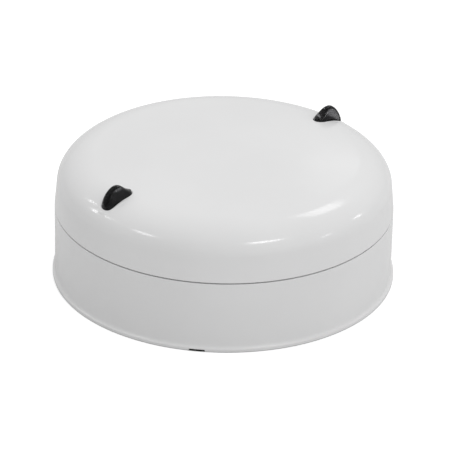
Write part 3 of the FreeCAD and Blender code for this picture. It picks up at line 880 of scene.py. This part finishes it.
@dataclass
class LightPipe:
    """A smoked light pipe: the fin over the cover, the stem in its window, the rod to the lamp."""

    finish: bpy.types.Material
    side: int
    name: str
    plan: PipePlan = field(default_factory=PipePlan)
    dome: DomeLine = field(default_factory=DomeLine)
    stem_depth: float = 4.0
    rod_radius: float = 1.9
    rod_overlap: float = 0.4
    rod_columns: int = 40
    lamp_gap: float = 0.5
    stations: int = 40
    arch_points: int = 33
    side_power: float = 0.92
    rise_power: float = 0.94
    least: float = 0.05
    crease: float = 50.0
    ridge: tuple[tuple[float, float], ...] = ((39.8, 41.88), (40.5, 42.15), (42.2, 43.15), (44.0, 44.5),
                                              (45.6, 44.99), (47.3, 44.5), (48.9, 42.9), (50.5, 39.7))

    def build(self) -> bpy.types.Object:
        """Make the light pipe.

        Returns:
            The piece.
        """
        shell = Shell()
        low = float(self.dome.surface(np.array(self.plan.middle))) - self.stem_depth
        self.add_fin(shell, low)
        rod_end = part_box("status_lamp_" + self.name)[1].z / MM + self.lamp_gap
        line = soften([(0.0, rod_end, 0.0), (self.rod_radius, rod_end, 0.3),
                       (self.rod_radius, low + self.rod_overlap, 0.0), (0.0, low + self.rod_overlap, 0.0)])
        shell.lathe(line, full_turn(self.rod_columns), np.array([self.side * self.plan.middle, 0.0]))
        nodes = ("light_pipe_" + self.name,)
        return shell.piece("pipe_" + self.name, self.finish, Body.HEAD, nodes, self.crease)

    def add_fin(self, shell: Shell, low: float) -> None:
        """Add the fin and its stem: arches carried along the radius, each on two upright sides.

        An arch's width is the half width times the cosine of its turn, and its height runs from
        the dome to the ridge with the sine. A power a little under 1 squares both.

        Args:
            shell: the light pipe's surfaces.
            low: the height of the stem's lower end.
        """
        knots = np.array(self.ridge)
        wave = (1 - np.cos(np.linspace(0, math.pi, self.stations))) / 2
        along = knots[0, 0] + (knots[-1, 0] - knots[0, 0]) * wave
        half = np.maximum(self.plan.half(along), self.least)[:, None]
        foot = self.dome.surface(along)[:, None]
        ridge = smooth_line(along, knots[:, 0], knots[:, 1])[:, None]
        ridge = np.maximum(ridge, foot + self.least)
        turn = np.linspace(0, math.pi, self.arch_points)
        across = half * np.sign(np.cos(turn)) * np.abs(np.cos(turn)) ** self.side_power
        height = foot + (ridge - foot) * np.sin(turn) ** self.rise_power
        sides = np.concatenate([half, across, -half], axis=1)
        levels = np.concatenate([np.full_like(foot, low), height, np.full_like(foot, low)], axis=1)
        points = np.stack([np.repeat(along[:, None], sides.shape[1], axis=1), sides, levels], axis=-1)
        points = points * [self.side, self.side, 1]
        shell.grid(points, wrap=True)
        shell.fan(points[0])
        shell.fan(points[-1])


@dataclass
class BaseShell:
    """The mounting base: drum wall with rebated rim and flared foot, open floor, posts and hooks."""

    finish: bpy.types.Material
    columns: int = 360
    body_radius: float = 55.0
    inner_radius: float = 52.8
    lip_radius: float = 54.1
    top: float = 23.65
    rebate: float = 22.65
    floor: float = 2.5
    foot_radius: float = 55.8
    foot_height: float = 2.2
    foot_swell: float = 0.06
    foot_shares: tuple[float, float] = (0.58, 0.45)
    drum_margins: tuple[float, float] = (1.5, 1.2)
    edge_round: float = 0.2
    entry_radius: float = 17.0
    entry_columns: int = 96
    collar_wall: float = 1.6
    collar_top: float = 6.0
    sink: float = 0.2
    slack: float = 0.01
    angle_slack: float = 1e-4
    opening_band: float = 0.35
    slot_radius: float = 2.1
    slots: tuple[tuple[float, float, float, float], ...] = (
        (30.0, 0.0, 14.0, 0.0), (-30.0, 0.0, 14.0, 0.0), (0.0, 37.5, 10.0, 90.0), (0.0, -37.5, 10.0, 90.0))
    hook_radius: float = 49.3
    hook_low: float = 14.8
    hook_top: float = 16.8
    skirt_low: float = 12.5
    lugs: tuple[tuple[float, float], ...] = ((70.0, 12.0), (190.0, 12.0), (310.0, 16.0))
    lug_gap: float = 0.3
    lug_radius: float = 48.6
    stop_width: float = 3.0
    notch_angle: float = 220.0
    notch_width: float = 5.0
    notch_height: float = 0.7
    notch_radius: float = 53.7
    notch_edge: float = 0.06
    terminal_circle: float = 38.0
    terminal_angles: tuple[float, ...] = (36.0, 156.0, 216.0, 336.0)
    post_size: tuple[float, float, float] = (10.0, 11.0, 11.0)
    post_corner: float = 1.0
    rib_sink: float = 1.0
    rib_drop: float = 0.3
    rib_width: float = 1.6
    rib_top: float = 7.5
    magnet_columns: int = 48
    magnet_place: tuple[float, float] = (30.0, 110.0)
    magnet_post: tuple[float, float, float, float] = (2.5, 3.9, 10.5, 16.5)

    def angles(self) -> np.ndarray:
        """Return the columns' angles, with some at the edges of the hook windows and of the notch.

        Returns:
            Rising angles in radians.
        """
        edges = [math.radians(angle + side * width / 2) for angle, width in self.lugs for side in (-1, 1)]
        half = math.degrees(self.notch_width / 2 / self.body_radius)
        edges += [math.radians(self.notch_angle + side * half + more)
                  for side in (-1, 1) for more in (-self.notch_edge, self.notch_edge)]
        return np.unique(np.round(np.concatenate([full_turn(self.columns), edges]) % (2 * math.pi), 7))

    def build(self) -> bpy.types.Object:
        """Make the base.

        Returns:
            The base's object.
        """
        shell = Shell()
        angles = self.angles()
        shell.grid(self.wall(angles), wrap=True)
        self.add_floor(shell, angles)
        inside, outside = self.entry_radius + self.slack, self.entry_radius + self.collar_wall
        collar = [(inside, self.floor - self.sink / 2, 0.0), (inside, self.collar_top, 0.3),
                  (outside, self.collar_top, 0.3), (outside, self.floor - self.sink, 0.0),
                  (inside, self.floor - self.sink / 2, 0.0)]
        shell.lathe(soften(collar), full_turn(self.entry_columns))
        for angle in self.terminal_angles:
            self.add_post(shell, math.radians(angle))
        for angle, width in self.lugs:
            self.add_hook(shell, angle, width)
        bore, outside, low, top = self.magnet_post
        circle, angle = self.magnet_place
        tube = [(0.0, low, 0.0), (bore, low, 0.0), (bore, top, 0.15), (outside, top, 0.3),
                (outside, self.floor - self.sink, 0.0), (0.0, self.floor - self.sink, 0.0)]
        shell.lathe(soften(tube), full_turn(self.magnet_columns), polar(circle, math.radians(angle)))
        return shell.piece("base_shell", self.finish, Body.BASE, ("mounting_base",))

    def wall(self, angles: np.ndarray) -> np.ndarray:
        """Return the drum's skin: up inside from the floor, over the lip, down outside, to the underside.

        The foot is a quadratic curve between three points. The notch is the outer stretch of the
        underside lifted to the notch's height.

        Args:
            angles: the columns' angles.

        Returns:
            Rows by columns by 3.
        """
        body, foot = self.body_radius, self.foot_radius
        levels = np.linspace(self.top - self.drum_margins[0], self.foot_height + self.drum_margins[1], 8)
        corners = [(self.inner_radius, self.floor, 0.0), (self.inner_radius, self.rebate, 0.15),
                   (self.lip_radius, self.rebate, 0.1), (self.lip_radius, self.top, 0.1),
                   (body, self.top, self.edge_round)]
        upper = soften([*corners, (body, levels[0], 0.0)])
        blend = np.linspace(0, 1, 9)[:, None]
        start = np.array([body, self.foot_height])
        middle = np.array([body + self.foot_swell, self.foot_height * self.foot_shares[0]])
        end = np.array([foot, self.foot_height * self.foot_shares[1]])
        curve = (1 - blend) ** 2 * start + 2 * blend * (1 - blend) * middle + blend ** 2 * end
        lower = soften([(*curve[-1], 0.0), (foot, 0.0, 0.25), (self.notch_radius, 0.0, 0.0)])
        drum = np.column_stack([np.full(len(levels) - 1, body), levels[1:]])
        line = np.concatenate([upper, drum, curve, lower[1:], [[self.inner_radius, 0.0]]])
        grid = ring_points(line, angles)
        away = (angles - math.radians(self.notch_angle) + math.pi) % (2 * math.pi) - math.pi
        inside = np.abs(away) < self.notch_width / 2 / body
        radius = np.hypot(grid[..., 0], grid[..., 1])
        cut = inside & (radius > self.notch_radius + self.slack) & (grid[..., 2] < self.notch_height)
        cut &= np.arange(len(line))[:, None] > len(upper)
        grid[..., 2] = np.where(cut, self.notch_height, grid[..., 2])
        return grid

    def add_floor(self, shell: Shell, angles: np.ndarray) -> None:
        """Add the floor: both faces triangulated round the openings, and the openings' walls.

        Args:
            shell: the base's surfaces.
            angles: the drum's column angles.
        """
        offsets = [(np.degrees(angles) - angle + 180) % 360 - 180 for angle, _ in self.lugs]
        windows = [np.abs(offset) <= width / 2 + self.angle_slack
                   for offset, (_, width) in zip(offsets, self.lugs)]
        rim = self.floor_rim(angles, np.any(windows, axis=0))
        loops = [rim, polar(self.entry_radius, full_turn(self.entry_columns))]
        loops += [stadium(x, y, length, self.slot_radius, angle) for x, y, length, angle in self.slots]
        for level in (0.0, self.floor):
            sheet, faces = fill(loops)
            shell.add(np.column_stack([sheet, np.full(len(sheet), level)]), faces)
        levels = (0.0, self.opening_band, self.floor - self.opening_band, self.floor)
        for loop in loops[1:]:
            shell.grid(np.stack([np.column_stack([loop, np.full(len(loop), level)]) for level in levels]),
                       wrap=True)
        for inside in windows:
            span = angles[inside]
            outer = ring_points(np.array([[self.inner_radius, 0.0], [self.inner_radius, self.floor]]), span)
            inner = ring_points(np.array([[self.hook_radius, 0.0], [self.hook_radius, self.floor]]), span)
            for strip in (outer, inner, np.stack([outer[:, 0], inner[:, 0]], axis=1),
                          np.stack([outer[:, -1], inner[:, -1]], axis=1)):
                shell.grid(strip)

    def floor_rim(self, angles: np.ndarray, in_window: np.ndarray) -> np.ndarray:
        """Return the floor's outline: the drum's inside, stepped in to the hooks at their windows.

        A window's first and last columns hold both radii, and every other column holds one.

        Args:
            angles: the drum's column angles.
            in_window: which of them lie in a hook window.

        Returns:
            Rows of x and y, anticlockwise.
        """
        steps = [np.where(in_window & np.roll(in_window, shift), self.hook_radius, self.inner_radius)
                 for shift in (1, -1)]
        radii = np.stack(steps, axis=-1)
        kept = np.stack([np.full(len(angles), True), radii[:, 0] != radii[:, 1]], axis=-1)
        return polar(radii[kept], np.stack([angles, angles], axis=-1)[kept])

    def add_post(self, shell: Shell, angle: float) -> None:
        """Add one terminal post with the two ribs that brace it.

        Args:
            shell: the base's surfaces.
            angle: the post's angle about the axis.
        """
        radial, tangent, top = self.post_size
        post = rounded_block(radial, tangent, self.post_corner) + [self.terminal_circle, 0.0]
        shell.prism(turned(post, angle), self.floor - self.sink, top, 0.25)
        half = self.rib_width / 2
        ribs = ((self.entry_radius + self.collar_wall / 2, self.terminal_circle - self.rib_sink,
                 self.collar_top - self.rib_drop),
                (self.terminal_circle + self.rib_sink, self.inner_radius + self.rib_sink, self.rib_top))
        for near, far, height in ribs:
            rib = np.array([[near, -half], [far, -half], [far, half], [near, half]])
            shell.prism(turned(rib, angle), self.floor - self.sink, height, 0.2)

    def add_hook(self, shell: Shell, angle: float, width: float) -> None:
        """Add one bayonet hook with its stop.

        Args:
            shell: the base's surfaces.
            angle: the lug's angle in degrees.
            width: the lug's width in degrees.
        """
        gap = math.degrees(self.lug_gap / self.lug_radius)
        start = angle - width / 2 - gap - self.stop_width
        outer = self.inner_radius + self.rib_sink
        hook = arc_block(self.hook_radius, outer, start, angle + width / 2)
        shell.prism(hook, self.hook_low, self.hook_top, 0.2)
        stop = arc_block(self.hook_radius, outer, start, start + self.stop_width)
        shell.prism(stop, self.skirt_low, self.hook_low + self.sink / 2, 0.05)


def rounded_block(length: float, width: float, corner: float, steps: int = 6) -> np.ndarray:
    """Return a rectangle's outline round the origin, with rounded corners.

    Args:
        length: its size along X.
        width: its size along Y.
        corner: the corners' radius.
        steps: divisions of a corner.

    Returns:
        Rows of x and y, anticlockwise.
    """
    turn = np.linspace(0, math.pi / 2, steps + 1)
    arcs = []
    for quarter, (x, y) in enumerate(((1, 1), (-1, 1), (-1, -1), (1, -1))):
        swing = turn + quarter * math.pi / 2
        arcs.append(np.column_stack([x * (length / 2 - corner) + corner * np.cos(swing),
                                     y * (width / 2 - corner) + corner * np.sin(swing)]))
    return np.concatenate(arcs)


def stadium(x: float, y: float, length: float, radius: float, angle: float) -> np.ndarray:
    """Return a slot's outline: two half circles joined by straight sides, turned about its middle.

    Args:
        x: the middle's x.
        y: the middle's y.
        length: the slot's length over all.
        radius: its half width.
        angle: its turn in degrees.

    Returns:
        Rows of x and y, anticlockwise.
    """
    loop = rounded_block(length, 2 * radius, radius - 1e-4, 12)
    return turned(loop, math.radians(angle)) + [x, y]


def arc_block(inner: float, outer: float, start: float, end: float, step: float = 1.5) -> np.ndarray:
    """Return the outline of a stretch of a ring, anticlockwise.

    Args:
        inner: the ring's inner radius.
        outer: its outer radius.
        start: where the stretch starts, in degrees.
        end: where it ends, in degrees.
        step: the widest step, in degrees, that its points are spaced by.

    Returns:
        Rows of x and y.
    """
    swing = np.radians(np.linspace(start, end, max(3, int((end - start) / step) + 1)))
    return np.concatenate([polar(outer, swing), polar(inner, swing)[::-1]])


def fill(loops: list[np.ndarray]) -> tuple[np.ndarray, np.ndarray]:
    """Triangulate the plane between an outline and the round-cornered holes in it.

    A triangle is dropped where its middle lies to the left of all of a hole's sides.

    Args:
        loops: the outline, then the holes, each as anticlockwise rows of x and y.

    Returns:
        The points, and rows of three point numbers.
    """
    starts = np.cumsum([0] + [len(loop) for loop in loops])
    rows = [first + np.arange(len(loop)) for first, loop in zip(starts, loops)]
    edges = np.concatenate([np.stack([row, np.roll(row, -1)], axis=-1) for row in rows]).tolist()
    corners = [Vector(spot) for spot in np.concatenate(loops)]
    inside_only, nearest = 1, 1e-5
    spots, _, faces, *_ = delaunay_2d_cdt(corners, edges, [], inside_only, nearest)
    spots, faces = np.array([tuple(spot) for spot in spots]), np.array(faces)
    middles = spots[faces].mean(axis=1)
    for hole in loops[1:]:
        sides = np.roll(hole, -1, axis=0) - hole
        offset = middles[:, None] - hole
        left = sides[:, 0] * offset[..., 1] - sides[:, 1] * offset[..., 0] > 0
        keep = ~left.all(axis=1)
        faces, middles = faces[keep], middles[keep]
    return spots, faces


@dataclass
class PackedPieces:
    """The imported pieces, which get the finish of their slots. Those inside keep their solids."""

    finishes: dict[str, bpy.types.Material]

    def dress(self) -> None:
        """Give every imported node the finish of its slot."""
        for row in frame["record"]["subparts"]:
            node = frame["nodes"][row["node"]]
            node.data.materials.clear()
            node.data.materials.append(self.finishes[row["material_slot"]])
            LOG.info("%s: packed solid, %s", row["node"], row["material_slot"])


@dataclass(frozen=True)
class SoftBox:
    """A lamp that faces the object, placed by the side that it stands on and its height."""

    name: str
    azimuth: float
    elevation: float
    width: float
    height: float
    glow: float
    distance: float = 1.3

    def build(self) -> None:
        """Make the lamp, whose power is its glow times its area times pi."""
        data = bpy.data.lights.new(self.name, "AREA")
        data.shape = "RECTANGLE"
        data.size, data.size_y = self.width, self.height
        data.energy = self.glow * math.pi * self.width * self.height
        lamp = bpy.data.objects.new(self.name, data)
        towards = direction(self.azimuth, self.elevation)
        lamp.location = towards * self.distance
        lamp.rotation_euler = (-towards).to_track_quat("-Z", "Y").to_euler()
        bpy.context.scene.collection.objects.link(lamp)


def direction(azimuth: float, elevation: float) -> Vector:
    """Return the unit vector towards a side, 0 being -Y and 90 being +X, and a height in degrees."""
    turn, rise = math.radians(azimuth), math.radians(elevation)
    return Vector((math.sin(turn) * math.cos(rise), -math.cos(turn) * math.cos(rise), math.sin(rise)))


@dataclass
class Studio:
    """A pale floor, soft light from all round and the camera at the photograph's angle."""

    azimuth: float = -42.0
    elevation: float = 27.34
    roll: float = 1.0
    distance: float = 1.0
    lens: float = 245.9
    sensor: float = 36.0
    aim_height: float = 0.020
    shift: tuple[float, float] = (0.0023, -0.0252)
    sky_level: float = 0.452
    sky_lobes: tuple[tuple[float, float, float], ...] = ((3.0, 20.0, 0.55), (138.0, 55.0, 0.635))
    floor_glow: float = 0.50
    floor_tone: float = 0.735
    floor_drop: float = 0.00005
    floor_columns: int = 96
    floor_rings: tuple[float, ...] = (0.0553, 0.0560, 0.08, 0.5, 4.0)
    hole_radius: float = 0.0552
    # The tongue is dark floor under the rim's slot: a dark sheet that paints shade into the slot.
    shade_tongue_radius: float = 0.0536
    shade_tongue_angle: float = 220.0
    shade_tongue_half: float = 0.08
    # Painted contact shadow: the floor is dark up to the foot's edge and glows only past it.
    painted_shadow_tone: float = 0.02
    painted_shadow_band: tuple[float, float] = (0.0553, 0.0557)
    glow_band: tuple[float, float] = (0.0556, 0.0560)
    boxes: tuple[SoftBox, ...] = (
        SoftBox("window", 104.0, 51.5, 0.29, 0.27, 2.9),
        SoftBox("left_tube", -104.0, 42.0, 0.29, 0.10, 8.0),
        SoftBox("front_tube", -7.0, 51.0, 0.40, 0.11, 11.0),
        SoftBox("low_lamp", 29.0, 18.5, 0.10, 0.06, 13.0),
        SoftBox("right_lamp", 61.0, 22.5, 0.08, 0.12, 9.0),
        SoftBox("spot_a", -163.0, 36.0, 0.025, 0.13, 16.0),
        SoftBox("spot_b", -146.5, 31.5, 0.09, 0.13, 13.0),
        SoftBox("spot_c", -136.5, 37.5, 0.02, 0.14, 18.0),
        SoftBox("far_panel", 128.5, 28.5, 0.16, 0.12, 0.6))

    def build(self) -> None:
        """Make the floor, the light and the camera."""
        self.add_floor()
        self.add_sky()
        for box in self.boxes:
            box.build()
        self.add_camera()
        bpy.context.scene.view_settings.view_transform = "Standard"

    def add_floor(self) -> None:
        """Add the pale floor, which shows from above only and whose own glow lights nothing else.

        It is a ring round the axis. Its hole, under the object, lets light reach the back, except for a
        tongue under the slot in the rim, a dark sheet that paints shade into the slot. Up to the foot's edge
        the floor is painted dark, a painted contact shadow.
        """
        count = self.floor_columns
        angles = full_turn(count)
        # The tongue under the rim's slot is dark floor that paints the slot's shade.
        on_shade_tongue = np.abs(angles - math.radians(self.shade_tongue_angle)) < self.shade_tongue_half
        hole = np.where(on_shade_tongue, self.shade_tongue_radius, self.hole_radius)
        radii = np.stack([hole] + [np.full(count, radius) for radius in self.floor_rings])
        flat = polar(radii, angles)
        points = np.concatenate([flat, np.zeros_like(flat[..., :1])], axis=-1)
        number = np.arange(radii.size).reshape(radii.shape)
        after = np.roll(number, -1, axis=1)
        faces = np.stack([number[:-1], number[1:], after[1:], after[:-1]], axis=-1)
        mesh = bpy.data.meshes.new("floor")
        mesh.from_pydata(points.reshape(-1, 3).tolist(), [], faces.reshape(-1, 4).tolist())
        mesh.materials.append(self.floor_paper())
        floor = bpy.data.objects.new("floor", mesh)
        floor.location.z = -self.floor_drop
        bpy.context.scene.collection.objects.link(floor)
        alone = bpy.data.collections.new("floor_only")
        alone.objects.link(floor)
        floor.light_linking.receiver_collection = alone

    def floor_paper(self) -> bpy.types.Material:
        """Make the floor's finish: a painted contact shadow near the foot, pale and glowing past it, clear
        from below.

        Returns:
            The material.
        """
        tree = Tree(bpy.data.materials.new("floor_paper"))
        away = tree.make("ShaderNodeVectorMath", {"operation": "LENGTH"}, {0: tree.place()}, "Value")
        # Painted contact shadow: dark up to the foot's edge, pale past it; the glow starts just past the
        # painted shadow.
        tone = tree.blend(away.band(*self.painted_shadow_band), (self.painted_shadow_tone,) * 3, (self.floor_tone,) * 3)
        glow = tree.blend(away.band(*self.glow_band), (0.0,) * 3, (1.0,) * 3)
        tree.set({"Base Color": tone, "Roughness": 0.9, "Specular IOR Level": 0.0,
                  "Emission Color": glow, "Emission Strength": self.floor_glow})
        under = tree.make("ShaderNodeNewGeometry", {}, {}, "Backfacing")
        clear = tree.make("ShaderNodeBsdfTransparent", {}, {})
        paper = Socket(tree, tree.shader.outputs[0])
        mixed = tree.make("ShaderNodeMixShader", {}, {0: under, 1: paper, 2: clear})
        tree.put(tree.nodes["Material Output"].inputs["Surface"], mixed)
        return tree.holder

    def add_sky(self) -> None:
        """Set the soft light from all round: an even level and two wide, soft lobes.

        A lobe is its level times the squared cosine of the angle from its middle, up to 90 degrees.
        """
        tree = Tree(bpy.data.worlds.new("studio"), "Background")
        bpy.context.scene.world = tree.holder
        place = tree.make("ShaderNodeTexCoord", {}, {}, "Generated")
        total = self.sky_level
        for azimuth, elevation, level in self.sky_lobes:
            values = {0: place, 1: direction(azimuth, elevation)}
            lean = tree.make("ShaderNodeVectorMath", {"operation": "DOT_PRODUCT"}, values, "Value")
            facing = tree.make("ShaderNodeMath", {"operation": "MAXIMUM"}, {0: lean, 1: 0.0})
            total = facing ** 2.0 * level + total
        tree.set({"Strength": total, "Color": (1.0, 1.0, 1.0, 1.0)})

    def add_camera(self) -> None:
        """Set the camera: a turn round the object, a height, and a slight roll."""
        back = direction(self.azimuth, self.elevation)
        data = bpy.data.cameras.new("camera")
        data.lens, data.sensor_width = self.lens, self.sensor
        data.shift_x, data.shift_y = self.shift
        camera = bpy.data.objects.new("camera", data)
        roll = Matrix.Rotation(math.radians(self.roll), 3, "Z")
        facing = (-back).to_track_quat("-Z", "Y").to_matrix() @ roll
        camera.matrix_world = facing.to_4x4()
        camera.location = Vector((0.0, 0.0, self.aim_height)) + back * self.distance
        bpy.context.scene.collection.objects.link(camera)
        bpy.context.scene.camera = camera


def make_finishes() -> dict[str, bpy.types.Material]:
    """Make the finish of every slot.

    Returns:
        Materials by slot name.
    """
    return {
        "base_plastic": MouldedPlastic("base_white", (0.74, 0.74, 0.742), 0.18).material(),
        "cover_plastic": MouldedPlastic("cover_white", (0.74, 0.74, 0.742), 0.15).material(),
        "chassis_plastic": MouldedPlastic("chassis_white", (0.66, 0.66, 0.665), 0.42).material(),
        "board_laminate": BoardLacquer("board_green", (0.010, 0.085, 0.032), (0.040, 0.14, 0.045)).material(),
        "smoked_clear": SmokedClear("smoked_clear", (0.16, 0.16, 0.167), (0.20, 0.20, 0.208)).material(),
        "lamp_body": MouldedPlastic("lamp_white", (0.80, 0.79, 0.74), 0.35).material(),
        "plated_steel": SheetMetal("plated_steel", (0.62, 0.62, 0.60), 0.32).material(),
        "magnet_nickel": SheetMetal("magnet_nickel", (0.56, 0.55, 0.52), 0.22).material(),
        "reed_glass": SmokedClear("reed_glass", (0.05, 0.11, 0.07), (0.08, 0.16, 0.11)).material(),
        "switch_black": MouldingCompound("switch_black", (0.012, 0.012, 0.013), 0.45).material(),
        "dial_white": MouldedPlastic("dial_white", (0.78, 0.78, 0.76), 0.36).material(),
        "chip_black": MouldingCompound("chip_black", (0.014, 0.014, 0.016)).material(),
        "tinned_sheet": SheetMetal("tinned_sheet", (0.66, 0.67, 0.66), 0.38, (1.0, 6.0, 1.0)).material(),
        "capacitor_can": SheetMetal("capacitor_can", (0.60, 0.61, 0.62), 0.30).material(),
        "ferrite": MouldingCompound("ferrite_grey", (0.045, 0.044, 0.046), 0.6).material(),
        "spring_bronze": SheetMetal("spring_bronze", (0.62, 0.42, 0.24), 0.30).material(),
        "contact_brass": SheetMetal("contact_brass", (0.70, 0.54, 0.26), 0.28).material(),
    }


def main() -> None:
    """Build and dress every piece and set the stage."""
    logging.basicConfig(level=logging.INFO, format="%(name)s %(message)s")
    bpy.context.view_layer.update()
    finishes = make_finishes()
    PackedPieces(finishes).dress()
    BaseShell(finishes["base_plastic"]).build()
    CoverShell(finishes["cover_plastic"]).build()
    for name, side in (("right", 1), ("left", -1)):
        LightPipe(finishes["smoked_clear"], side, name).build()
    Studio().build()


if __name__ == "__main__":
    main()
